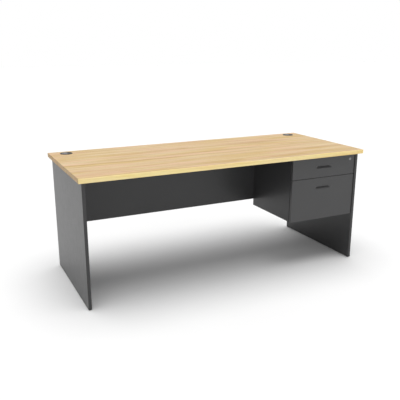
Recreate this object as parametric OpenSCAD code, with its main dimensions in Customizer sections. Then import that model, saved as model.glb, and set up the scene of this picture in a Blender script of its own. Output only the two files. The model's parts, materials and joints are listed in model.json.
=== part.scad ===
// Teacher desk: a panel-end desk with a fixed pedestal of one box drawer and one file drawer.
// Millimetres. X runs along the desk (+X to the sitter's right), Y from the sitter (-Y) to the
// back (+Y), Z up. The origin is on the floor below the centre of the worktop.

/* [Desk] */
// Length of the worktop
desk_l = 1800; // [1500:50:2100]
// Depth of the worktop
desk_d = 750; // [700:10:800]
// Height of the worktop's upper face
desk_h = 725; // [700:5:760]
// Thickness of the worktop, edge bands included
top_t = 25; // [22:1:30]
// Thickness of the end, modesty and pedestal boards
board_t = 18; // [16:1:18]
// Distance from the worktop's ends to the end panels
end_inset = 20; // [10:1:40]
// Distance from the worktop's front edge to the end panels
front_set = 25; // [15:1:40]
// Distance from the worktop's rear edge to the end panels
rear_set = 20; // [10:1:40]
// Distance from the worktop's front edge to the modesty panel
modesty_set = 467; // [440:1:500]
// Height of the modesty panel
modesty_h = 350; // [250:10:450]
// Thickness of the worktop's edge bands
top_band_t = 2; // [1:0.5:3]
// Thickness of the boards' edge bands
band_t = 1; // [0.5:0.5:2]
// Height of the floor glides
glide_h = 4; // [3:1:8]

/* [Pedestal] */
// Width of the pedestal's carcass
ped_w = 470; // [440:5:500]
// Height of the box drawer's front
box_front_h = 126; // [125:1:140]
// Height of the file drawer's front
file_front_h = 263; // [255:1:280]
// Gap between the fronts, and above the upper one
front_gap = 3; // [2:0.5:4]
// Gap beside the fronts
front_reveal = 2; // [1.5:0.5:3]
// Distance of the fronts behind the end panels' front edges
front_back_set = 5; // [2:1:10]
// Length of the finger pulls
pull_l = 132; // [110:1:150]
// Height of the finger pulls
pull_h = 22; // [20:1:24]
// Distance from a front's upper edge down to its pull's centre
pull_drop = 61; // [55:1:63]
// Length and travel of the drawer runners
runner_l = 350; // [300:10:350]

/* [Cable grommets] */
// Distance from the worktop's ends to the grommets' centres
grommet_end = 98; // [80:1:150]
// Distance from the worktop's rear edge to the grommets' centres
grommet_rear = 69; // [60:1:120]
// Diameter of the hole in the worktop
grommet_hole = 60; // [60:1:80]

/* [Hidden] */
$fn = 48;
eps = 0.01;

// end panels and modesty panel
under_z = desk_h - top_t;
out_x = desk_l / 2 - end_inset;
in_x = out_x - board_t;
panel_y0 = -desk_d / 2 + front_set;
panel_y1 = desk_d / 2 - rear_set;
modesty_y = -desk_d / 2 + modesty_set;
modesty_z = under_z - modesty_h;
glide_r = 8.5;
glide_edge = 13;
glide_stem_r = 1.5;
glide_stem_l = 16;

// joining hardware: a cam in a board's face draws in a bolt that stands in the other board; the
// fittings and dowels stand fitting_end and dowel_end from the ends of the joints
cam_set = 34;
cam_r = 7.5;
cam_depth = 12.5;
bolt_bore_r = 4;
thread_r = 2.5;
thread_l = 11;
dowel_r = 4;
dowel_out = 10;
dowel_in = 20;
fitting_end = 60;
dowel_end = 120;
fit = 0.05;
DOWN = [0, 0, -1];
UP = [0, 0, 1];
LEFT = [-1, 0, 0];
RIGHT = [1, 0, 0];
REAR = [0, 1, 0];
// each fitting: the point where its axis meets the joint, the way into the cam's board, the
// way the cam's mouth faces
PANEL_FITTINGS = [for (side = [-1, 1], y = [panel_y0 + fitting_end, 0, panel_y1 - fitting_end])
    [[side * (in_x + board_t / 2), y, under_z], DOWN, side < 0 ? RIGHT : LEFT]];
MODESTY_END_FITTINGS = [for (side = [-1, 1], z = [modesty_z + fitting_end, under_z - fitting_end])
    [[side * in_x, modesty_y + board_t / 2, z], side < 0 ? RIGHT : LEFT, REAR]];
MODESTY_TOP_FITTINGS = [for (x = [-500, 0, 500])
    [[x, modesty_y + board_t / 2, under_z], DOWN, REAR]];
FITTINGS = concat(PANEL_FITTINGS, MODESTY_END_FITTINGS, MODESTY_TOP_FITTINGS);
// each dowel: the point where its axis meets the joint, and the way into the board's edge
PANEL_DOWELS = [for (side = [-1, 1], y = [panel_y0 + dowel_end, panel_y1 - dowel_end])
    [[side * (in_x + board_t / 2), y, under_z], DOWN]];
MODESTY_END_DOWELS = [for (side = [-1, 1], z = [modesty_z + dowel_end, under_z - dowel_end])
    [[side * in_x, modesty_y + board_t / 2, z], side < 0 ? RIGHT : LEFT]];
DESK_DOWELS = concat(PANEL_DOWELS, MODESTY_END_DOWELS);

// pedestal carcass, hung between the worktop, the right end panel and the modesty panel
front_y = panel_y0 + front_back_set;
front_rear_y = front_y + board_t;
bumper_t = 2;
bumper_r = 4;
bumper_in = 25;
ped_x1 = in_x;
ped_x0 = ped_x1 - ped_w;
ped_in0 = ped_x0 + board_t;
ped_in1 = ped_x1 - board_t;
ped_y0 = front_rear_y + bumper_t;
ped_y1 = modesty_y;
ped_back_y = ped_y1 - board_t;
box_front_z1 = under_z - front_gap;
box_front_z0 = box_front_z1 - box_front_h;
file_front_z1 = box_front_z0 - front_gap;
file_front_z0 = file_front_z1 - file_front_h;
ped_z0 = file_front_z0 + 2;
rail_d = 100;
rail_dowel_edge = 25;
rail_z = under_z - board_t;
front_x0 = ped_x0 + front_reveal;
front_x1 = ped_x1 - front_reveal;
front_mid_x = (front_x0 + front_x1) / 2;
// the inner faces of the pedestal's sides, and the way from each into the boards between them
PED_FACES = [[ped_in0, RIGHT], [ped_in1, LEFT]];
PED_DOWEL_PLACES = [
    for (y = [ped_y0 + 40, ped_back_y - fitting_end]) [y, ped_z0 + board_t / 2],
    for (y = [ped_y0, ped_back_y - rail_d], back = [rail_dowel_edge, rail_d - rail_dowel_edge])
        [y + back, rail_z + board_t / 2],
    for (z = [ped_z0 + fitting_end, rail_z - fitting_end]) [ped_back_y + board_t / 2, z]
];
PED_DOWELS = [for (face = PED_FACES, place = PED_DOWEL_PLACES) [[face[0], place[0], place[1]], face[1]]];

// chipboard screws that hold the pedestal: the centre of the head's face, and the way in
screw_r = 2;
screw_head_r = 4;
screw_head_h = 2.5;
rail_screw_l = 35;
side_screw_l = 30;
screw_end = 40;
RAIL_SCREWS = [
    for (x = [ped_in0 + screw_end, ped_in1 - screw_end], y = [ped_y0 + rail_d / 2, ped_back_y - rail_d / 2])
        [[x, y, rail_z], UP, rail_screw_l]
];
SIDE_SCREWS = [for (y = [ped_y0 + 50, ped_back_y - screw_end], z = [ped_z0 + 45, rail_z - 14])
    [[ped_in1, y, z], RIGHT, side_screw_l]];
BACK_SCREWS = [for (x = [ped_in0 + fitting_end, ped_in1 - fitting_end])
    [[x, ped_back_y, rail_z - screw_end], REAR, side_screw_l]];
PED_SCREWS = concat(RAIL_SCREWS, SIDE_SCREWS, BACK_SCREWS);

// drawer boxes, between runners that take runner_w on each side
runner_w = 12.7;
runner_y0 = ped_y0 + 23;
metal_t = 1.2;
drawer_x0 = ped_in0 + runner_w;
drawer_x1 = ped_in1 - runner_w;
side_t = 12;
drawer_y1 = ped_back_y - 31;
base_t = 3;
base_up = 4;
groove = 5;
box_z0 = box_front_z0 + 12;
box_h = 68;
file_z0 = ped_z0 + board_t + 3;
file_h = 225;
box_runner_z = box_z0 + 25;
file_runner_z = file_z0 + 90;
// runner members: their half heights and widths, and the middle one's distance from the carcass
cabinet_half_h = 22.75;
mid_half_h = 18.6;
inner_half_h = 14.2;
cabinet_w = 9.5;
mid_w = 7.4;
inner_w = 6.9;
mid_web_x = 3.4;
// finger pulls: a scoop that slopes in from its lower edge and is deepest behind the lip that the
// fingers hook; it is part of a cylinder whose axis is scoop_set before the front and scoop_up
// above the pull's middle
scoop_set = 3;
scoop_up = 6;
pull_rim_t = 0.8;
pull_rim_w = 1.5;
pull_wall = 1.5;
pull_lip = 3;
pull_sill = 1;
scoop_r = norm([scoop_set, pull_h / 2 - pull_rim_w + scoop_up]);
RUNNER_HOLES = [37, runner_l / 2, runner_l - 30];
runner_screw_r = 1.9;
runner_head_r = 3.2;
runner_head_h = 1.5;

// hanging rails on the file drawer's sides
clip_t = 1.6;
clip_drop = 12;
fin_h = 6;
fin_t = 2;

// lock in the box drawer's front: its plug's crank lifts a bar that holds both drawers
lock_x = front_x1 - 36;
lock_z = box_front_z1 - 30;
lock_body_r = 7;
lock_flange_r = 8.2;
lock_flange_t = 1.5;
plug_r = 4.7;
plug_bore_r = plug_r + fit;
crank = 6;
crank_side = crank * sin(45);
crank_pin_r = 2;
crank_y0 = ped_y0 + 0.1;
crank_disc_r = crank + crank_pin_r + 0.5;
crank_disc_t = 2;
crank_pin_l = 12;
slot_play = 0.35;

// locking bar, in a groove of the right side in front of the runners
bar_t = 4;
bar_w = 14;
bar_y0 = ped_y0 + 3;
bar_x0 = ped_in1 + 0.3;
bar_z0 = ped_z0 + board_t + 20;
bar_z1 = lock_z + 5;
bar_play = 0.3;
tongue_y0 = bar_y0 + 4;
tongue_t = 2;
tongue_rim = 2.4;
catch_r = 2.5;
catch_l = 8;
catch_stem_r = 2;
catch_stem_l = 9;
catch_y = ped_y0 + 11;
catch_up = 33;
ear_h = 5;
ear_d = 4.5;
guide_h = 12;
guide_t = 1.6;
guide_end = 12;
guide_peg_r = 1.5;
guide_peg_l = 8;
GUIDE_Z = [bar_z0 + 10, box_z0 - 60];

// cable grommets
grommet_r = grommet_hole / 2;
sleeve_r = grommet_r - 2;
flange_r = grommet_r + 7;
flange_h = 2.4;
seat_z = 0.8;
seat_r = grommet_r + 2.2;
sleeve_l = 21;
cap_t = 1.8;
cap_skirt = 9;
slot_w = 18;
slot_x = 7;
slot_corner_r = 4;
shutter_r = sleeve_r - 1;
shutter_t = 1.2;
pivot_r = 2.5;
pivot_head_r = 4;
pivot_bore_r = 2.6;

// a box from its lowest to its highest corner
module slab(low, high) {
    translate(low) cube(high - low);
}

// puts a shape drawn along +Z, with its mouth towards +X, at a point of the desk
module aim(at, into, mouth) {
    side = cross(into, mouth);
    multmatrix([
        [mouth.x, side.x, into.x, at.x],
        [mouth.y, side.y, into.y, at.y],
        [mouth.z, side.z, into.z, at.z],
        [0, 0, 0, 1]
    ]) children();
}

// a direction square to another, for shapes that are round about their axis
function square_to(v) = abs(v.x) > 0.5 ? REAR : RIGHT;

// an outline in X and Z, drawn back along Y from y0 to y1
module along_y(y0, y1) {
    translate([0, y1, 0]) rotate([90, 0, 0]) linear_extrude(y1 - y0) children();
}

// ---- joining hardware ----

module fitting_bores(fittings) {
    for (f = fittings) aim(f[0], f[1], f[2]) {
        translate([0, 0, -thread_l - 0.5]) cylinder(r = thread_r, h = thread_l + 0.5 + eps);
        cylinder(r = bolt_bore_r, h = cam_set);
        translate([board_t / 2 - cam_depth, 0, cam_set]) rotate([0, 90, 0])
            cylinder(r = cam_r, h = cam_depth + 1);
    }
}

module dowel_bores(dowels) {
    for (d = dowels) aim(d[0], d[1], square_to(d[1]))
        translate([0, 0, -dowel_out - 0.5]) cylinder(r = dowel_r, h = dowel_out + dowel_in + 1);
}

module dowels(dowels) {
    l = dowel_out + dowel_in;
    for (d = dowels) aim(d[0], d[1], square_to(d[1]))
        translate([0, 0, -dowel_out]) rotate_extrude() polygon([
            [0, 0], [dowel_r - 1, 0], [dowel_r - fit, 1], [dowel_r - fit, l - 1], [dowel_r - 1, l], [0, l]
        ]);
}

module screw_bores(screws) {
    for (s = screws) aim(s[0], s[1], square_to(s[1])) {
        translate([0, 0, -1]) cylinder(r = screw_r + fit, h = s[2] + 1.5);
        translate([0, 0, -eps]) cylinder(r1 = screw_head_r + 0.2, r2 = screw_r, h = screw_head_h + 0.2);
    }
}

module screws(screws) {
    for (s = screws) aim(s[0], s[1], square_to(s[1])) difference() {
        rotate_extrude() polygon([
            [0, 0], [screw_head_r, 0], [screw_r, screw_head_h], [screw_r, s[2] - 4], [0, s[2]]
        ]);
        for (a = [0, 90]) rotate([0, 0, a]) translate([-2.5, -0.4, -1]) cube([5, 0.8, 2.5]);
    }
}

module cam_housings() {
    color("silver") for (f = FITTINGS) aim(f[0], f[1], f[2]) difference() {
        translate([board_t / 2 - cam_depth + 0.1, 0, cam_set]) rotate([0, 90, 0])
            cylinder(r = cam_r - fit, h = cam_depth - 0.1);
        translate([0, 0, cam_set - cam_r - 1]) cylinder(r = 3.4, h = cam_r + 3.5);
        for (a = [0, 90]) translate([board_t / 2, 0, cam_set]) rotate([a, 0, 0])
            translate([-1.8, -4, -0.75]) cube([3, 8, 1.5]);
    }
}

module cam_bolts() {
    color("silver") for (f = FITTINGS) aim(f[0], f[1], f[2]) rotate_extrude() polygon([
        [0, -thread_l], [1.5, -thread_l], [thread_r - fit, 1 - thread_l], [thread_r - fit, 0],
        [bolt_bore_r - 0.2, 0], [bolt_bore_r - 0.2, 2], [3, 2], [3, cam_set - 9], [2, cam_set - 8],
        [2, cam_set - 4], [3, cam_set - 3], [3, cam_set + 1], [2, cam_set + 2], [0, cam_set + 2]
    ]);
}

module desk_dowels() {
    color("burlywood") dowels(DESK_DOWELS);
}

// ---- worktop ----

module on_right() {
    translate([desk_l / 2 - grommet_end, desk_d / 2 - grommet_rear, desk_h]) children();
}

module on_left() {
    translate([grommet_end - desk_l / 2, desk_d / 2 - grommet_rear, desk_h]) children();
}

module grommet_bore() {
    translate([0, 0, -top_t - 1]) cylinder(r = grommet_r, h = top_t + 2, $fn = 96);
}

module worktop() {
    x = desk_l / 2 - top_band_t;
    y = desk_d / 2 - top_band_t;
    color([0.87, 0.78, 0.61]) difference() {
        slab([-x, -y, under_z], [x, y, desk_h]);
        on_left() grommet_bore();
        on_right() grommet_bore();
        fitting_bores(PANEL_FITTINGS);
        fitting_bores(MODESTY_TOP_FITTINGS);
        dowel_bores(PANEL_DOWELS);
        screw_bores(RAIL_SCREWS);
    }
}

// the section of a band on an edge at +X, its outer arrises cut off
module band_section() {
    arris = top_band_t * 0.6;
    translate([0, under_z]) polygon([
        [0, 0], [top_band_t - arris, 0], [top_band_t, arris], [top_band_t, top_t - arris],
        [top_band_t - arris, top_t], [0, top_t]
    ]);
}

module long_band() {
    color([0.93, 0.85, 0.66]) rotate([0, 0, -90]) translate([desk_d / 2 - top_band_t, 0, 0])
        along_y(-desk_l / 2, desk_l / 2) band_section();
}

module end_band() {
    color([0.93, 0.85, 0.66]) translate([desk_l / 2 - top_band_t, 0, 0])
        along_y(top_band_t - desk_d / 2, desk_d / 2 - top_band_t) band_section();
}

module worktop_front_band() {
    long_band();
}

module worktop_rear_band() {
    rotate([0, 0, 180]) long_band();
}

module worktop_right_band() {
    end_band();
}

module worktop_left_band() {
    rotate([0, 0, 180]) end_band();
}

// ---- end panels and modesty panel ----

module end_panel(side) {
    x0 = side < 0 ? -out_x : in_x;
    color("dimgray") difference() {
        slab([x0, panel_y0 + band_t, glide_h], [x0 + board_t, panel_y1 - band_t, under_z]);
        fitting_bores(PANEL_FITTINGS);
        fitting_bores(MODESTY_END_FITTINGS);
        dowel_bores(DESK_DOWELS);
        screw_bores(SIDE_SCREWS);
        at_glides() translate([0, 0, glide_h - 1]) cylinder(r = glide_stem_r + fit, h = glide_stem_l + 1.5);
    }
}

module left_end_panel() {
    end_panel(-1);
}

module right_end_panel() {
    end_panel(1);
}

module end_panel_bands() {
    color("dimgray") for (x = [-out_x, in_x], y = [panel_y0, panel_y1 - band_t])
        slab([x, y, glide_h], [x + board_t, y + band_t, under_z]);
}

module modesty_panel() {
    color("dimgray") difference() {
        slab([-in_x, modesty_y, modesty_z + band_t], [in_x, modesty_y + board_t, under_z]);
        fitting_bores(MODESTY_END_FITTINGS);
        fitting_bores(MODESTY_TOP_FITTINGS);
        dowel_bores(MODESTY_END_DOWELS);
        screw_bores(BACK_SCREWS);
    }
}

module modesty_band() {
    color("dimgray") slab([-in_x, modesty_y, modesty_z], [in_x, modesty_y + board_t, modesty_z + band_t]);
}

module at_glides() {
    for (side = [-1, 1], y = [panel_y0 + glide_edge, panel_y1 - glide_edge])
        translate([side * (in_x + board_t / 2), y, 0]) children();
}

module floor_glides() {
    color("black") at_glides() rotate_extrude() polygon([
        [0, 0], [glide_r - 1.5, 0], [glide_r, 1.5], [glide_r, glide_h], [glide_stem_r, glide_h],
        [glide_stem_r, glide_h + glide_stem_l - 3], [0, glide_h + glide_stem_l]
    ]);
}

// ---- cable grommets, drawn with the worktop's face at z = 0 and the cable slot towards +X ----

module grommet_liner() {
    color("dimgray") rotate_extrude($fn = 96) polygon([
        [sleeve_r, -sleeve_l], [grommet_r - 0.1, -sleeve_l], [grommet_r - 0.1, 0],
        [flange_r, 0], [flange_r, 0.8], [flange_r - 1.6, flange_h],
        [seat_r, flange_h], [seat_r, seat_z], [sleeve_r, seat_z]
    ]);
}

module grommet_cap() {
    rim = seat_r - 0.3;
    top = seat_z + cap_t;
    skirt_r = sleeve_r - 0.3;
    skirt_in_r = skirt_r - 1.5;
    slot_y = slot_w / 2 - slot_corner_r;
    color("dimgray") difference() {
        rotate_extrude($fn = 96) polygon([
            [0, seat_z], [skirt_in_r, seat_z], [skirt_in_r, -cap_skirt], [skirt_r, -cap_skirt],
            [skirt_r, seat_z], [rim, seat_z], [rim, top - 0.6], [rim - 0.6, top], [0, top]
        ]);
        translate([0, 0, -1]) cylinder(r = pivot_bore_r, h = cap_t + 4);
        hull() for (x = [slot_x + slot_corner_r, flange_r + slot_corner_r], y = [-slot_y, slot_y])
            translate([x, y, -cap_skirt - 1])
                cylinder(r = slot_corner_r, h = cap_skirt + cap_t + 4, $fn = 32);
    }
}

module grommet_shutter() {
    top = seat_z + cap_t + 0.05;
    color("gray") union() {
        intersection() {
            translate([0, 0, top]) rotate_extrude($fn = 96) polygon([
                [0, 0], [shutter_r, 0], [shutter_r, shutter_t - 0.5],
                [shutter_r - 0.8, shutter_t], [0, shutter_t]
            ]);
            slab([-shutter_r - 1, -shutter_r - 1, 0], [pivot_head_r, shutter_r + 1, top + 2 * shutter_t]);
        }
        translate([0, 0, seat_z - 1.5]) cylinder(r = pivot_r, h = cap_t + 1.6);
        translate([0, 0, seat_z - 2]) cylinder(r = pivot_head_r, h = 1.8);
    }
}

module left_grommet_liner() {
    on_left() grommet_liner();
}

module right_grommet_liner() {
    on_right() grommet_liner();
}

module left_grommet_cap() {
    on_left() grommet_cap();
}

module right_grommet_cap() {
    on_right() grommet_cap();
}

module left_grommet_shutter() {
    on_left() grommet_shutter();
}

module right_grommet_shutter() {
    on_right() grommet_shutter();
}

// ---- pedestal carcass ----

module pedestal_side(x0) {
    color("dimgray") difference() {
        slab([x0, ped_y0 + band_t, ped_z0], [x0 + board_t, ped_y1, under_z]);
        dowel_bores(PED_DOWELS);
        screw_bores(SIDE_SCREWS);
        runner_board_bores();
    }
}

module pedestal_left_side() {
    pedestal_side(ped_x0);
}

module pedestal_right_side() {
    difference() {
        pedestal_side(ped_in1);
        slab([ped_in1 - 1, bar_y0 - bar_play, bar_z0],
            [bar_x0 + bar_t + bar_play, bar_y0 + bar_w + bar_play, rail_z]);
        at_guide_pegs() cylinder(r = guide_peg_r + fit, h = guide_peg_l + 0.5);
    }
}

module pedestal_bottom() {
    color("dimgray") difference() {
        slab([ped_in0, ped_y0 + band_t, ped_z0], [ped_in1, ped_y1, ped_z0 + board_t]);
        dowel_bores(PED_DOWELS);
    }
}

module pedestal_back() {
    color("dimgray") difference() {
        slab([ped_in0, ped_back_y, ped_z0 + board_t], [ped_in1, ped_y1, under_z]);
        dowel_bores(PED_DOWELS);
        screw_bores(BACK_SCREWS);
    }
}

module pedestal_rail(y0, y1) {
    color("dimgray") difference() {
        slab([ped_in0, y0, rail_z], [ped_in1, y1, under_z]);
        dowel_bores(PED_DOWELS);
        screw_bores(RAIL_SCREWS);
    }
}

module pedestal_front_rail() {
    pedestal_rail(ped_y0 + band_t, ped_y0 + rail_d);
}

module pedestal_rear_rail() {
    pedestal_rail(ped_back_y - rail_d, ped_back_y);
}

module pedestal_bands() {
    color("dimgray") {
        for (x = [ped_x0, ped_in1]) slab([x, ped_y0, ped_z0], [x + board_t, ped_y0 + band_t, under_z]);
        for (z = [ped_z0, rail_z]) slab([ped_in0, ped_y0, z], [ped_in1, ped_y0 + band_t, z + board_t]);
    }
}

module pedestal_dowels() {
    color("burlywood") dowels(PED_DOWELS);
}

module pedestal_screws() {
    color("silver") screws(PED_SCREWS);
}

module drawer_bumpers() {
    heights = concat(
        [for (z = [file_front_z0, box_front_z0]) z + bumper_in],
        [for (z = [file_front_z1, box_front_z1]) z - bumper_in]
    );
    color("gainsboro") for (x = [ped_x0 + board_t / 2, ped_x1 - board_t / 2], z = heights)
        translate([x, ped_y0, z]) rotate([90, 0, 0])
            cylinder(r1 = bumper_r, r2 = bumper_r - 1, h = bumper_t);
}

// ---- runners, drawn from the carcass side's face at x = 0 towards the drawer ----

module runner_pair(z) {
    translate([ped_in0, runner_y0, z]) children();
    translate([ped_in1, runner_y0, z]) mirror([1, 0, 0]) children();
}

// a channel open towards +x, from x0 to x1 and half_h above and below its middle
module channel(x0, x1, half_h) {
    along_y(0, runner_l) difference() {
        translate([x0, -half_h]) square([x1 - x0, 2 * half_h]);
        translate([x0 + metal_t, metal_t - half_h]) square([x1 - x0, 2 * (half_h - metal_t)]);
    }
}

module at_runner_holes() {
    for (y = RUNNER_HOLES) translate([0, y, 0]) rotate([0, 90, 0]) children();
}

module cabinet_runners(z) {
    color("lightgray") runner_pair(z) difference() {
        channel(0, cabinet_w, cabinet_half_h);
        at_runner_holes() translate([0, 0, -1]) cylinder(r = runner_screw_r + 0.1, h = 4, $fn = 24);
    }
}

module mid_runners(z) {
    color("lightgray") runner_pair(z) channel(mid_web_x, mid_web_x + mid_w, mid_half_h);
}

module inner_runners(z) {
    color("lightgray") runner_pair(z) difference() {
        translate([runner_w, 0, 0]) mirror([1, 0, 0]) channel(0, inner_w, inner_half_h);
        at_runner_holes() translate([0, 0, runner_w - 3])
            cylinder(r = runner_screw_r + 0.1, h = 4, $fn = 24);
    }
}

// the pan-head screw of a runner, its head's seat at z = 0 and its point towards +z
module runner_screw(l) {
    difference() {
        rotate_extrude($fn = 24) polygon([
            [0, -runner_head_h], [runner_head_r - 0.8, -runner_head_h], [runner_head_r, 0],
            [runner_screw_r, 0], [runner_screw_r, l - 3], [0, l]
        ]);
        for (a = [0, 90]) rotate([0, 0, a]) translate([-2, -0.35, -2]) cube([4, 0.7, 1.4]);
    }
}

module runner_board_bores() {
    for (z = [box_runner_z, file_runner_z]) runner_pair(z)
        at_runner_holes() translate([0, 0, -13]) cylinder(r = runner_screw_r + fit, h = 14, $fn = 24);
}

module box_cabinet_runners() {
    cabinet_runners(box_runner_z);
}

module file_cabinet_runners() {
    cabinet_runners(file_runner_z);
}

module box_mid_runners() {
    mid_runners(box_runner_z);
}

module file_mid_runners() {
    mid_runners(file_runner_z);
}

module box_drawer_runners() {
    inner_runners(box_runner_z);
}

module file_drawer_runners() {
    inner_runners(file_runner_z);
}

module cabinet_runner_screws() {
    color("silver") for (z = [box_runner_z, file_runner_z]) runner_pair(z)
        at_runner_holes() translate([0, 0, metal_t]) rotate([180, 0, 0]) runner_screw(13);
}

module drawer_screws(z) {
    color("silver") runner_pair(z)
        at_runner_holes() translate([0, 0, runner_w - metal_t]) runner_screw(11);
}

module box_drawer_screws() {
    drawer_screws(box_runner_z);
}

module file_drawer_screws() {
    drawer_screws(file_runner_z);
}

// ---- drawers ----

// the drawer sides' inner faces, and the way from each into the back
DRAWER_FACES = [[drawer_x0 + side_t, RIGHT], [drawer_x1 - side_t, LEFT]];

function drawer_dowels(z0, h) = let (heights = [z0 + 17, z0 + h - 30]) [
    for (x = [drawer_x0 + side_t / 2, drawer_x1 - side_t / 2], z = heights) [[x, front_rear_y, z], REAR],
    for (face = DRAWER_FACES, z = heights) [[face[0], drawer_y1 - side_t / 2, z], face[1]]
];

// room in the sides and front for the base, which slides in from the rear
module base_groove(z0) {
    slab([drawer_x0 + side_t - groove, front_rear_y - groove, z0 + base_up - 0.1],
        [drawer_x1 - side_t + groove, drawer_y1 + 1, z0 + base_up + base_t + 0.1]);
}

module drawer_side(x0, z0, h, runner_z) {
    color("whitesmoke") difference() {
        slab([x0, front_rear_y, z0], [x0 + side_t, drawer_y1, z0 + h]);
        base_groove(z0);
        dowel_bores(drawer_dowels(z0, h));
        runner_pair(runner_z) at_runner_holes()
            translate([0, 0, runner_w - 1]) cylinder(r = runner_screw_r + fit, h = 11.5, $fn = 24);
        catch_bore(runner_z + catch_up);
    }
}

module drawer_back(z0, h) {
    color("whitesmoke") difference() {
        slab([drawer_x0 + side_t, drawer_y1 - side_t, z0 + base_up + base_t],
            [drawer_x1 - side_t, drawer_y1, z0 + h]);
        dowel_bores(drawer_dowels(z0, h));
    }
}

module drawer_base(z0) {
    color("whitesmoke") slab([drawer_x0 + side_t - groove + 0.2, front_rear_y - groove + 0.2, z0 + base_up],
        [drawer_x1 - side_t + groove - 0.2, drawer_y1, z0 + base_up + base_t]);
}

module drawer_front(front_z0, front_z1, z0, h) {
    color("dimgray") difference() {
        slab([front_x0, front_y, front_z0], [front_x1, front_rear_y, front_z1]);
        base_groove(z0);
        dowel_bores(drawer_dowels(z0, h));
        translate([front_mid_x, front_y, front_z1 - pull_drop]) pull_scoop(0.1);
    }
}

// a round-ended scoop let into a front whose face is at y = 0; grow widens it all round
module pull_scoop(grow) {
    edge = 2 * (grow - pull_rim_w);
    intersection() {
        translate([-pull_l, -scoop_set, scoop_up]) rotate([0, 90, 0])
            cylinder(r = scoop_r + grow, h = 2 * pull_l, $fn = 96);
        round_plate(pull_l + edge, pull_h + edge, -eps, scoop_r);
    }
}

// a plate with round ends, l by h, from y0 to y1
module round_plate(l, h, y0, y1) {
    along_y(y0, y1) {
        square([l - h, h], center = true);
        for (side = [-1, 1]) translate([side * (l - h) / 2, 0]) circle(r = h / 2);
    }
}

module drawer_pull(front_z1) {
    edge = pull_rim_w + pull_wall;
    mouth_l = pull_l - 2 * (edge + pull_sill);
    mouth_h = pull_h - 2 * edge - pull_lip - pull_sill;
    color([0.25, 0.25, 0.26]) translate([front_mid_x, front_y, front_z1 - pull_drop]) difference() {
        union() {
            round_plate(pull_l, pull_h, -pull_rim_t, 0);
            pull_scoop(0);
        }
        intersection() {
            pull_scoop(-pull_wall);
            slab([-pull_l, 0, -pull_h], [pull_l, scoop_r, pull_h]);
        }
        translate([0, 0, (pull_sill - pull_lip) / 2])
            round_plate(mouth_l, mouth_h, -pull_rim_t - 1, eps);
    }
}

module box_drawer_front() {
    difference() {
        drawer_front(box_front_z0, box_front_z1, box_z0, box_h);
        translate([lock_x, front_rear_y + 1, lock_z]) rotate([90, 0, 0])
            cylinder(r = lock_body_r, h = board_t + 2);
    }
}

module file_drawer_front() {
    drawer_front(file_front_z0, file_front_z1, file_z0, file_h);
}

module box_drawer_left_side() {
    drawer_side(drawer_x0, box_z0, box_h, box_runner_z);
}

module box_drawer_right_side() {
    drawer_side(drawer_x1 - side_t, box_z0, box_h, box_runner_z);
}

module box_drawer_back() {
    drawer_back(box_z0, box_h);
}

module box_drawer_base() {
    drawer_base(box_z0);
}

module box_drawer_pull() {
    drawer_pull(box_front_z1);
}

module box_drawer_dowels() {
    color("burlywood") dowels(drawer_dowels(box_z0, box_h));
}

module file_drawer_left_side() {
    drawer_side(drawer_x0, file_z0, file_h, file_runner_z);
}

module file_drawer_right_side() {
    drawer_side(drawer_x1 - side_t, file_z0, file_h, file_runner_z);
}

module file_drawer_back() {
    drawer_back(file_z0, file_h);
}

module file_drawer_base() {
    drawer_base(file_z0);
}

module file_drawer_pull() {
    drawer_pull(file_front_z1);
}

module file_drawer_dowels() {
    color("burlywood") dowels(drawer_dowels(file_z0, file_h));
}

// clips over the top edges of the file drawer's sides, with a fin for the files' hooks
module file_hanging_rails() {
    top = file_z0 + file_h;
    color("silver") for (x = [drawer_x0, drawer_x1 - side_t])
        translate([x, 0, top]) along_y(ped_y0 + 1, drawer_y1 - side_t - 1) {
            difference() {
                translate([-clip_t, -clip_drop]) square([side_t + 2 * clip_t, clip_drop + 2]);
                translate([-0.1, -clip_drop - 1]) square([side_t + 0.2, clip_drop + 1]);
            }
            translate([(side_t - fin_t) / 2, 1]) square([fin_t, fin_h + 1]);
        }
}

// ---- lock and locking bar ----

module lock_housing() {
    face = ped_y0 - front_y;
    color("silver") translate([lock_x, 0, lock_z]) difference() {
        translate([0, ped_y0, 0]) rotate([90, 0, 0]) rotate_extrude() polygon([
            [0, 0], [lock_body_r - fit, 0], [lock_body_r - fit, face], [lock_flange_r, face],
            [lock_flange_r, face + 0.7], [lock_flange_r - 0.8, face + lock_flange_t],
            [0, face + lock_flange_t]
        ]);
        translate([0, ped_y0 + 1, 0]) rotate([90, 0, 0]) cylinder(r = plug_bore_r, h = 2 * face);
    }
}

// a cylinder along Y that ends at y1 and starts l before it
module rod_y(r, y1, l) {
    translate([0, y1, 0]) rotate([90, 0, 0]) cylinder(r = r, h = l);
}

module lock_plug() {
    plug_y0 = front_y - lock_flange_t + 0.3;
    disc_y1 = crank_y0 + crank_disc_t;
    color("gainsboro") translate([lock_x, 0, lock_z]) difference() {
        union() {
            rod_y(plug_r, crank_y0 + eps, crank_y0 - plug_y0);
            rod_y(crank_disc_r, disc_y1, crank_disc_t);
            translate([-crank_side, 0, -crank_side])
                rod_y(crank_pin_r, disc_y1 + crank_pin_l, crank_pin_l + 1);
        }
        translate([-0.8, plug_y0 - 1, -3.5]) cube([1.6, 9, 7]);
    }
}

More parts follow.
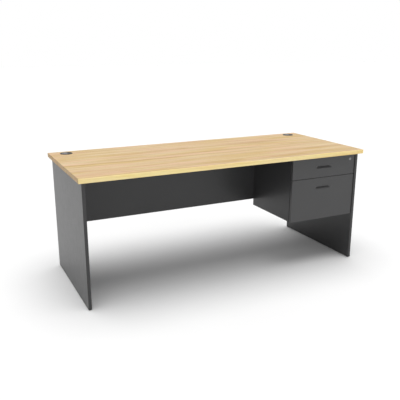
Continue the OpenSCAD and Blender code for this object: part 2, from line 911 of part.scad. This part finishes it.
module locking_bar() {
    pin_x = lock_x - crank_side;
    pin_z = lock_z - crank_side;
    half_slot = crank_pin_r + slot_play;
    color("lightgray") union() {
        slab([bar_x0, bar_y0, bar_z0], [bar_x0 + bar_t, bar_y0 + bar_w, bar_z1]);
        difference() {
            slab([lock_x - crank - crank_pin_r - 4, tongue_y0, pin_z - half_slot - tongue_rim],
                [bar_x0 + eps, tongue_y0 + tongue_t, pin_z + half_slot + tongue_rim]);
            slab([lock_x - crank - crank_pin_r - 0.5, tongue_y0 - 1, pin_z - half_slot],
                [pin_x + crank_pin_r + 0.5, tongue_y0 + tongue_t + 1, pin_z + half_slot]);
        }
        for (z = [box_runner_z, file_runner_z]) {
            ear_z1 = z + catch_up - catch_r - 1;
            slab([drawer_x1 + 2, bar_y0, ear_z1 - ear_h], [bar_x0 + eps, bar_y0 + ear_d, ear_z1]);
        }
    }
}

module at_guide_pegs() {
    for (z = GUIDE_Z) translate([ped_in1, bar_y0 + bar_w + guide_end - 4, z + guide_h / 2])
        rotate([0, 90, 0]) children();
}

// strips across the groove that keep the bar in it
module locking_bar_guides() {
    color("black") {
        for (z = GUIDE_Z)
            slab([ped_in1 - guide_t, ped_y0 + 0.5, z], [ped_in1, bar_y0 + bar_w + guide_end, z + guide_h]);
        at_guide_pegs() translate([0, 0, -eps]) cylinder(r = guide_peg_r, h = guide_peg_l);
    }
}

// the pin on a drawer's right side that the locking bar's ear holds
module at_catch(z) {
    translate([drawer_x1, catch_y, z]) rotate([0, 90, 0]) children();
}

module catch_bore(z) {
    at_catch(z) translate([0, 0, -catch_stem_l - 0.5]) cylinder(r = catch_stem_r, h = catch_stem_l + 1);
}

module catch_pin(z) {
    color("silver") at_catch(z) {
        translate([0, 0, -catch_stem_l]) cylinder(r = catch_stem_r - fit, h = catch_stem_l + eps);
        cylinder(r = catch_r, h = catch_l);
    }
}

module box_drawer_catch() {
    catch_pin(box_runner_z + catch_up);
}

module file_drawer_catch() {
    catch_pin(file_runner_z + catch_up);
}

worktop();
worktop_front_band();
worktop_rear_band();
worktop_left_band();
worktop_right_band();
left_end_panel();
right_end_panel();
end_panel_bands();
modesty_panel();
modesty_band();
floor_glides();
cam_housings();
cam_bolts();
desk_dowels();
left_grommet_liner();
right_grommet_liner();
left_grommet_cap();
right_grommet_cap();
left_grommet_shutter();
right_grommet_shutter();
pedestal_left_side();
pedestal_right_side();
pedestal_bottom();
pedestal_back();
pedestal_front_rail();
pedestal_rear_rail();
pedestal_bands();
pedestal_dowels();
pedestal_screws();
box_cabinet_runners();
file_cabinet_runners();
box_mid_runners();
file_mid_runners();
cabinet_runner_screws();
drawer_bumpers();
locking_bar_guides();
locking_bar();
lock_housing();
lock_plug();
box_drawer_front();
box_drawer_left_side();
box_drawer_right_side();
box_drawer_back();
box_drawer_base();
box_drawer_pull();
box_drawer_runners();
box_drawer_screws();
box_drawer_dowels();
box_drawer_catch();
file_drawer_front();
file_drawer_left_side();
file_drawer_right_side();
file_drawer_back();
file_drawer_base();
file_drawer_pull();
file_drawer_runners();
file_drawer_screws();
file_drawer_dowels();
file_drawer_catch();
file_hanging_rails();
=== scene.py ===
import json
import math
import bmesh
import bpy
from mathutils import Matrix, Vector


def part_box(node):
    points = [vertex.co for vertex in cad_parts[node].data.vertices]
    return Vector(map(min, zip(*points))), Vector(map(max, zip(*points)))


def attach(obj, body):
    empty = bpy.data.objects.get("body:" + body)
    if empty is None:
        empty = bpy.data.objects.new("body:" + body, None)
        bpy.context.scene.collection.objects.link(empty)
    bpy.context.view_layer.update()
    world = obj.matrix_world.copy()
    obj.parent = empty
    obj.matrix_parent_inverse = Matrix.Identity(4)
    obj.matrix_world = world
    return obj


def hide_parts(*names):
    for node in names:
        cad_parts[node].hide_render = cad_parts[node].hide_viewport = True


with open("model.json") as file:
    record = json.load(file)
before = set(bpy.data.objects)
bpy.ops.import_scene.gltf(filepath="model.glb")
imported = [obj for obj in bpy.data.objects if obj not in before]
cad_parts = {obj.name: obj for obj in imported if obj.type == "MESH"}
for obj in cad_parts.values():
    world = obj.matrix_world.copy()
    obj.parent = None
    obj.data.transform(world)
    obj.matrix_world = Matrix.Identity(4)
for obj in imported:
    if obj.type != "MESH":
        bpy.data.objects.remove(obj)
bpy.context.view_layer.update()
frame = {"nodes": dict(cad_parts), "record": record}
NODES = frame["nodes"]
BODY_OF = {n: body for body, ns in frame["record"]["behaviour"]["bodies"].items() for n in ns}
SLOT_OF = {s["node"]: s["material_slot"] for s in frame["record"]["subparts"]}
MM = 0.001
RELIEF = 0.01 * MM  # the relief of fine-textured boards and plastics
SHARP = math.radians(40)  # smooth shading breaks where faces turn by more than this
DARK_SHEET = (0.04, 0.04, 0.041, 1)  # the worktop's underside


# ---------------------------------------------------------------- camera and light

def make_camera():
    camera = bpy.data.cameras.new("Camera")
    camera.sensor_width = 36
    camera.lens = 49.69
    camera.clip_end = 60
    eye = bpy.data.objects.new("Camera", camera)
    eye.location = (-1.5116, -2.9929, 1.3657)
    eye.rotation_euler = (math.radians(74.125), 0, math.radians(-25.953))
    bpy.context.scene.collection.objects.link(eye)
    bpy.context.scene.camera = eye


def make_sun(strength, angle):
    """A soft lamp far overhead that shines straight down and looks angle degrees wide."""
    sun = bpy.data.lights.new("overhead", "SUN")
    sun.energy = strength
    sun.angle = math.radians(angle)
    bpy.context.scene.collection.objects.link(bpy.data.objects.new("overhead", sun))


def make_world(glow, front_glow, card):
    """A white studio: a dim dome for the light, brighter in front, and plain white for the eye.
    Low in front of the desk stands a white card that shows only in reflections."""
    world = bpy.data.worlds.new("Studio")
    bpy.context.scene.world = world
    world.use_nodes = True
    tree = world.node_tree
    tree.nodes.clear()
    where = add(tree, "ShaderNodeTexCoord").outputs["Generated"]
    way = add(tree, "ShaderNodeSeparateXYZ", {"Vector": where}).outputs
    ray = add(tree, "ShaderNodeLightPath").outputs
    front = ramp(tree, way["Y"], 0.1, -0.9, glow, front_glow)
    ahead = ramp(tree, way["Y"], -0.3, -0.7, 0.0, card)
    low = ramp(tree, way["Z"], 0.5, 0.2, 0.0, 1.0)
    seen_card = maths(tree, "MULTIPLY", maths(tree, "MULTIPLY", ahead, low), ray["Is Glossy Ray"])
    light = maths(tree, "ADD", front, seen_card)
    level = add(tree, "ShaderNodeMix", {"Factor": ray["Is Camera Ray"], "A": light, "B": 1.0})
    sky = add(tree, "ShaderNodeBackground", {"Color": (1, 1, 1, 1), "Strength": level.outputs[0]})
    out = add(tree, "ShaderNodeOutputWorld")
    tree.links.new(sky.outputs[0], out.inputs["Surface"])


# ---------------------------------------------------------------- materials

def add(tree, kind, inputs=(), **settings):
    """A node with its settings and inputs; an input is a value or another node's output."""
    node = tree.nodes.new(kind)
    for key, value in settings.items():
        setattr(node, key, value)
    for key, value in dict(inputs).items():
        socket = node.inputs[key]
        if isinstance(value, bpy.types.NodeSocket):
            tree.links.new(value, socket)
        else:
            socket.default_value = value
    return node


def maths(tree, how, a, b=0.0):
    return add(tree, "ShaderNodeMath", {0: a, 1: b}, operation=how).outputs[0]


def ramp(tree, value, start, end, first, last):
    """First until value passes start, last from where it passes end, even in between."""
    inputs = {"Value": value, "From Min": start, "From Max": end, "To Min": first, "To Max": last}
    return add(tree, "ShaderNodeMapRange", inputs).outputs[0]


def linear(red, green, blue):
    """A linear colour from the 0 to 255 display values."""
    return tuple((c / 255) ** 2.2 for c in (red, green, blue)) + (1,)


class Finish:
    """A material made of procedural nodes in the row frame."""

    def __init__(self, name, **shader):
        self.material = bpy.data.materials.new(name)
        self.material.use_nodes = True
        self.tree = self.material.node_tree
        self.shader = self.tree.nodes["Principled BSDF"]
        self.place = add(self.tree, "ShaderNodeTexCoord").outputs["Object"]
        self.bumps = None
        for key, value in shader.items():
            self.shader.inputs[key.replace("_", " ")].default_value = value

    def scaled(self, scale, place):
        inputs = {"Vector": place, "Scale": scale}
        return add(self.tree, "ShaderNodeMapping", inputs).outputs[0]

    def moved(self, distance, place):
        inputs = {0: place, 1: (distance,) * 3}
        return add(self.tree, "ShaderNodeVectorMath", inputs, operation="ADD").outputs[0]

    def noise(self, scale, detail=3.0, rough=0.5, low=0.3, high=0.7, place=None, to=(0.0, 1.0)):
        """Noise of so many features a metre along X, Y and Z, stretched to the range given."""
        inputs = {"Vector": self.scaled(scale, place or self.place), "Scale": 1.0,
                  "Detail": detail, "Roughness": rough}
        fac = add(self.tree, "ShaderNodeTexNoise", inputs).outputs["Fac"]
        return ramp(self.tree, fac, low, high, to[0], to[1])

    def mix(self, fac, a, b):
        node = add(self.tree, "ShaderNodeMix", data_type="RGBA")
        for socket, value in ((0, fac), (6, a), (7, b)):
            if isinstance(value, bpy.types.NodeSocket):
                self.tree.links.new(value, node.inputs[socket])
            else:
                node.inputs[socket].default_value = value
        return node.outputs[2]

    def maths(self, how, a, b=0.0):
        return maths(self.tree, how, a, b)

    def colour(self, value):
        self.tree.links.new(value, self.shader.inputs["Base Color"])

    def rough(self, value):
        self.tree.links.new(value, self.shader.inputs["Roughness"])

    def bump(self, height, depth):
        """Adds a relief of that depth in metres."""
        inputs = {"Height": height, "Distance": depth, "Strength": 1.0}
        if self.bumps is not None:
            inputs["Normal"] = self.bumps
        self.bumps = add(self.tree, "ShaderNodeBump", inputs).outputs[0]
        self.tree.links.new(self.bumps, self.shader.inputs["Normal"])


def oak(name, tones, lines=1.0, backer_below=None):
    """Straight-grained oak print along X, from a pale, a yellow, a pink and a dark tone.
    Below backer_below it is the plain sheet underneath."""
    pale, yellow, pink, dark = tones
    f = Finish(name, Specular_IOR_Level=0.22)
    drift = f.noise((1.3, 3.0, 3.0), detail=2, to=(-0.009, 0.009))
    shift = add(f.tree, "ShaderNodeCombineXYZ", {"X": 0.0, "Y": drift, "Z": drift}).outputs[0]
    place = add(f.tree, "ShaderNodeVectorMath", {0: f.place, 1: shift}, operation="ADD").outputs[0]
    flow = f.noise((1.7, 19, 19), detail=4, rough=0.6, low=0.38, high=0.62, place=place)
    blush = f.noise((2.9, 15, 15), detail=3, low=0.47, high=0.62, place=f.moved(7.0, place))
    body = f.mix(flow, pale, yellow)
    body = f.mix(f.maths("MULTIPLY", blush, 0.75), body, pink)
    growth = f.noise((0.7, 42, 42), detail=4, rough=0.6, low=0.52, high=0.7,
                     place=f.moved(3.0, place))
    body = f.mix(f.maths("MULTIPLY", growth, 0.6 * lines), body, dark)
    streaks = f.noise((1.2, 105, 105), detail=3, rough=0.55, low=0.46, high=0.63,
                      place=f.moved(11.0, place))
    body = f.mix(f.maths("MULTIPLY", streaks, 0.42 * lines), body, dark)
    fine = f.noise((9, 420, 420), detail=3, rough=0.6, low=0.4, high=0.72, place=place)
    body = f.mix(f.maths("MULTIPLY", fine, 0.2 * lines), body, dark)
    pores = f.noise((55, 1300, 1300), detail=2, low=0.6, high=0.68, place=place)
    body = f.mix(f.maths("MULTIPLY", pores, 0.3 * lines), body, dark)
    if backer_below is not None:
        height = add(f.tree, "ShaderNodeSeparateXYZ", {"Vector": f.place}).outputs["Z"]
        body = f.mix(f.maths("LESS_THAN", height, backer_below), body, DARK_SHEET)
    f.colour(body)
    f.rough(f.noise((5, 160, 160), detail=3, to=(0.46, 0.6), place=place))
    f.bump(pores, -0.08 * MM)
    f.bump(fine, -0.04 * MM)
    return f.material


def board(name, shade, spread, rough, grain=520.0, specular=0.37):
    """Fine-textured melamine or ABS of one colour."""
    dark = tuple(c * (1 - spread) for c in shade[:3]) + (1,)
    pale = tuple(c * (1 + spread) for c in shade[:3]) + (1,)
    f = Finish(name, Specular_IOR_Level=specular)
    clouds = f.noise((7, 7, 7), detail=4)
    speck = f.noise((grain,) * 3, detail=2, low=0.35, high=0.65)
    f.colour(f.mix(f.maths("ADD", f.maths("MULTIPLY", clouds, 0.5),
                           f.maths("MULTIPLY", speck, 0.5)), dark, pale))
    f.rough(f.noise((30, 30, 30), detail=4, to=(rough - 0.015, rough + 0.015)))
    f.bump(speck, RELIEF)
    return f.material


def metal(name, shade, rough, scale, spread=0.08):
    """Metal with marks that run along the axis where its scale is smallest."""
    f = Finish(name, Metallic=1.0)
    dark = tuple(c * (1 - spread) for c in shade[:3]) + (1,)
    marks = f.noise(scale, detail=4, rough=0.6)
    patches = f.noise((25, 25, 25), detail=3)
    f.colour(f.mix(f.maths("MULTIPLY", f.maths("ADD", marks, patches), 0.5), dark, shade))
    f.rough(f.maths("ADD", rough, f.maths("MULTIPLY", marks, 0.12)))
    f.bump(marks, 2 * RELIEF)
    return f.material


def beech(name):
    f = Finish(name, Specular_IOR_Level=0.3)
    grain = f.noise((90, 90, 1500), detail=3)
    flecks = f.noise((400, 400, 3000), detail=2, low=0.55, high=0.7)
    body = f.mix(grain, linear(214, 180, 136), linear(190, 148, 102))
    f.colour(f.mix(f.maths("MULTIPLY", flecks, 0.4), body, linear(140, 98, 62)))
    f.rough(f.noise((60, 60, 60), to=(0.55, 0.7)))
    f.bump(grain, 0.08 * MM)
    return f.material


def clear_rubber(name):
    f = Finish(name, Transmission_Weight=0.55, IOR=1.45)
    haze = f.noise((300, 300, 300), detail=2)
    f.colour(f.mix(haze, linear(214, 216, 216), linear(240, 241, 240)))
    f.rough(f.noise((150, 150, 150), to=(0.25, 0.4)))
    return f.material


FINISHES = {
    "oak_top": oak("oak_top", (linear(226, 204, 165), linear(215, 186, 131),
                               linear(228, 193, 162), linear(171, 132, 81)),
                   backer_below=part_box("worktop")[0].z + 0.5 * MM),
    # The edge print's own grain and tones, made paler than the top's at full brightness: partly
    # painted light from the front.
    "oak_edge": oak("oak_edge", (linear(255, 240, 184), linear(255, 230, 150),
                                 linear(255, 230, 170), linear(236, 188, 108)), lines=0.6),
    "graphite_board": board("graphite_board", (0.0452, 0.0452, 0.0462, 1), 0.05, 0.35),
    "graphite_band": board("graphite_band", (0.042, 0.042, 0.043, 1), 0.05, 0.36, 700),
    "drawer_board": board("drawer_board", linear(226, 226, 222), 0.02, 0.38),
    "pull_plastic": board("pull_plastic", (0.066, 0.066, 0.067, 1), 0.06, 0.34, 1500, 0.45),
    "grommet_plastic": board("grommet_plastic", (0.05, 0.05, 0.05, 1), 0.08, 0.3, 1800),
    "shutter_plastic": board("shutter_plastic", (0.17, 0.165, 0.17, 1), 0.06, 0.2, 1800, 0.6),
    "glide_plastic": board("glide_plastic", (0.012, 0.012, 0.012, 1), 0.15, 0.45, 1500),
    "runner_steel": metal("runner_steel", (0.66, 0.67, 0.68, 1), 0.28, (900, 12, 900)),
    "fastener_steel": metal("fastener_steel", (0.62, 0.6, 0.55, 1), 0.26, (700, 700, 700)),
    "cam_zinc": metal("cam_zinc", (0.5, 0.5, 0.5, 1), 0.4, (900, 900, 900)),
    "lock_chrome": metal("lock_chrome", (0.24, 0.24, 0.245, 1), 0.3, (1500, 40, 1500), 0.05),
    "aluminium": metal("aluminium", (0.7, 0.71, 0.72, 1), 0.32, (1200, 1200, 10)),
    "dowel_beech": beech("dowel_beech"),
    "bumper_clear": clear_rubber("bumper_clear"),
}
# A darker copy of the edge print for the worktop's left and right bands: painted shade on the
# ends.
SHADED_END_BANDS = oak("oak_edge_painted_shade", (linear(198, 176, 138), linear(186, 156, 108),
                                  linear(196, 162, 124), linear(134, 100, 62)), lines=0.8)
# A lighter copy of the graphite board for the drawer fronts: painted light from the front.
LIT_FRONT_BOARD = board("graphite_fronts_painted_light", (0.063, 0.063, 0.064, 1), 0.05, 0.36)


def dress(obj, slot, finish=None):
    """Gives every material slot of an object its finish."""
    finish = finish or FINISHES[slot]
    if not obj.data.materials:
        obj.data.materials.append(finish)
    for index in range(len(obj.data.materials)):
        obj.data.materials[index] = finish


for node, obj in NODES.items():
    dress(obj, SLOT_OF[node])


# ---------------------------------------------------------------- pieces that replace CAD nodes

def make_piece(name, bm, node, finish=None, weighted=True):
    """An object made of bm that rides with a CAD node and stands for it."""
    for edge in bm.edges:
        edge.smooth = not (edge.is_manifold and edge.calc_face_angle(0) > SHARP)
    for face in bm.faces:
        face.smooth = True
    mesh = bpy.data.meshes.new(name)
    bm.to_mesh(mesh)
    bm.free()
    piece = bpy.data.objects.new(name, mesh)
    bpy.context.scene.collection.objects.link(piece)
    if weighted:
        flat = piece.modifiers.new("flat_faces", "WEIGHTED_NORMAL")
        flat.keep_sharp = True
    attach(piece, BODY_OF[node])
    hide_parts(node)
    dress(piece, SLOT_OF[node], finish)
    return piece


def copy_of(node):
    """A CAD node's mesh with its flat faces whole."""
    bm = bmesh.new()
    bm.from_mesh(NODES[node].data)
    bmesh.ops.remove_doubles(bm, verts=bm.verts, dist=1e-6)
    bmesh.ops.dissolve_limit(bm, angle_limit=math.radians(0.5), verts=bm.verts, edges=bm.edges)
    return bm


def soften(node, width, keep=None, shortest=12 * MM, finish=None, bend=60):
    """Rounds a CAD node's long outer arrises, where its faces turn by more than bend degrees.
    Keep says which, from an edge's middle and the node's box."""
    bm = copy_of(node)
    low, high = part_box(node)
    arrises = []
    for edge in bm.edges:
        if not edge.is_manifold or not edge.is_convex or edge.calc_length() < shortest:
            continue
        middle = (edge.verts[0].co + edge.verts[1].co) / 2
        turns = edge.calc_face_angle(0) > math.radians(bend)
        if turns and (keep is None or keep(middle, low, high)):
            arrises.append(edge)
    bmesh.ops.bevel(bm, geom=arrises, offset=width, segments=3, profile=0.5,
                    affect="EDGES", clamp_overlap=True)
    return make_piece(node + "_rounded", bm, node, finish)


NEAR = 0.2 * MM  # an arris is on a flat side of the node's box within this
ARRIS = 1.4 * MM  # the chamfers of the worktop's bands lie within this of their outer side
soften("worktop_front_band", 0.5 * MM, lambda p, low, high: p.y < low.y + ARRIS, bend=40)
soften("worktop_rear_band", 0.5 * MM, lambda p, low, high: p.y > high.y - ARRIS, bend=40)
# The left and right bands take the darker copy of the edge print: painted shade.
soften("worktop_left_band", 0.5 * MM, lambda p, low, high: p.x < low.x + ARRIS,
       finish=SHADED_END_BANDS, bend=40)
soften("worktop_right_band", 0.5 * MM, lambda p, low, high: p.x > high.x - ARRIS,
       finish=SHADED_END_BANDS, bend=40)
soften("end_panel_bands", 0.7 * MM,
       lambda p, low, high: p.y < low.y + NEAR or p.y > high.y - NEAR)
soften("modesty_band", 0.6 * MM, lambda p, low, high: p.z < low.z + NEAR)
soften("pedestal_bands", 0.4 * MM, lambda p, low, high: p.y < low.y + NEAR)
# The drawer fronts take the lighter copy of the graphite board: painted light from the front.
for drawer in ("box_drawer", "file_drawer"):
    soften(drawer + "_front", 0.8 * MM, shortest=30 * MM, finish=LIT_FRONT_BOARD)
    for part in ("_left_side", "_right_side", "_back"):
        soften(drawer + part, 0.8 * MM, lambda p, low, high: p.z > high.z - NEAR,
               shortest=30 * MM)


def stadium(half, bottom, top, y, count=24):
    """Points round an upright slot with round ends, half a length to each side of its middle."""
    radius = (top - bottom) / 2
    ring = []
    for side in (1, -1):
        for step in range(count + 1):
            turn = math.pi * step / count - math.pi / 2
            ring.append((side * (half - radius + radius * math.cos(turn)), y,
                         (bottom + top) / 2 + side * radius * math.sin(turn)))
    return ring


# each ring of a pull, from its back round the rim into the dish: depth behind the front, half
# length, lower and upper edge, in millimetres
PULL_RINGS = (
    (12.3, 40, 4.2, 7.8), (11.4, 50, 1.0, 8.8), (9.0, 56.5, -3.4, 9.2), (5.0, 61, -7.0, 9.3),
    (2.0, 63, -8.5, 9.35), (0.02, 64.2, -9.2, 9.4), (0.02, 65.9, -10.9, 10.9),
    (-0.3, 66.0, -11.0, 11.0), (-0.6, 65.8, -10.8, 10.8), (-0.8, 65.3, -10.3, 10.3),
    (-0.78, 65.0, -10.0, 9.6), (-0.6, 64.7, -9.7, 8.7), (-0.2, 64.2, -9.3, 8.1),
    (0.4, 63.2, -8.7, 8.0), (1.2, 61.6, -7.8, 8.3), (2.2, 59.2, -6.6, 8.7),
    (3.4, 56.4, -5.2, 9.0), (4.8, 53.4, -3.8, 9.0), (6.6, 50.6, -2.2, 8.9),
    (8.6, 47.6, 0.0, 8.6), (10.4, 42.0, 2.6, 8.0), (11.2, 36.0, 4.6, 7.2),
)


def make_pull(node):
    """A moulded finger pull: a rim round a dish that is deepest behind its upper lip."""
    low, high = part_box(node)
    centre = Vector(((low.x + high.x) / 2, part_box(node.replace("pull", "front"))[0].y,
                     (low.z + high.z) / 2))
    bm = bmesh.new()
    rings = []
    for depth, half, bottom, top in PULL_RINGS:
        points = stadium(half * MM, bottom * MM, top * MM, depth * MM)
        rings.append([bm.verts.new(centre + Vector(p)) for p in points])
    for first, second in zip(rings, rings[1:]):
        for i in range(len(first)):
            j = (i + 1) % len(first)
            bm.faces.new((first[i], first[j], second[j], second[i]))
    bm.faces.new(list(reversed(rings[0])))
    bm.faces.new(rings[-1])
    bmesh.ops.recalc_face_normals(bm, faces=bm.faces)
    return make_piece(node + "_moulded", bm, node, weighted=False)


make_pull("box_drawer_pull")
make_pull("file_drawer_pull")


# ---------------------------------------------------------------- floor

def make_floor(reach=30.0):
    mesh = bpy.data.meshes.new("floor")
    corners = [(x * reach, y * reach, 0) for x, y in ((-1, -1), (1, -1), (1, 1), (-1, 1))]
    mesh.from_pydata(corners, [], [(0, 1, 2, 3)])
    floor = bpy.data.objects.new("floor", mesh)
    bpy.context.scene.collection.objects.link(floor)
    f = Finish("floor", Roughness=0.9, Specular_IOR_Level=0.0)
    tone = f.noise((3, 3, 3), detail=3)
    f.colour(f.mix(tone, (0.9, 0.9, 0.9, 1), (0.91, 0.91, 0.91, 1)))
    mesh.materials.append(f.material)


make_camera()
make_sun(strength=2.23, angle=56)
make_world(glow=0.45, front_glow=0.52, card=1.5)
make_floor()
view = bpy.context.scene.view_settings
view.view_transform = "Standard"
view.look = "None"

bpy.context.view_layer.update()
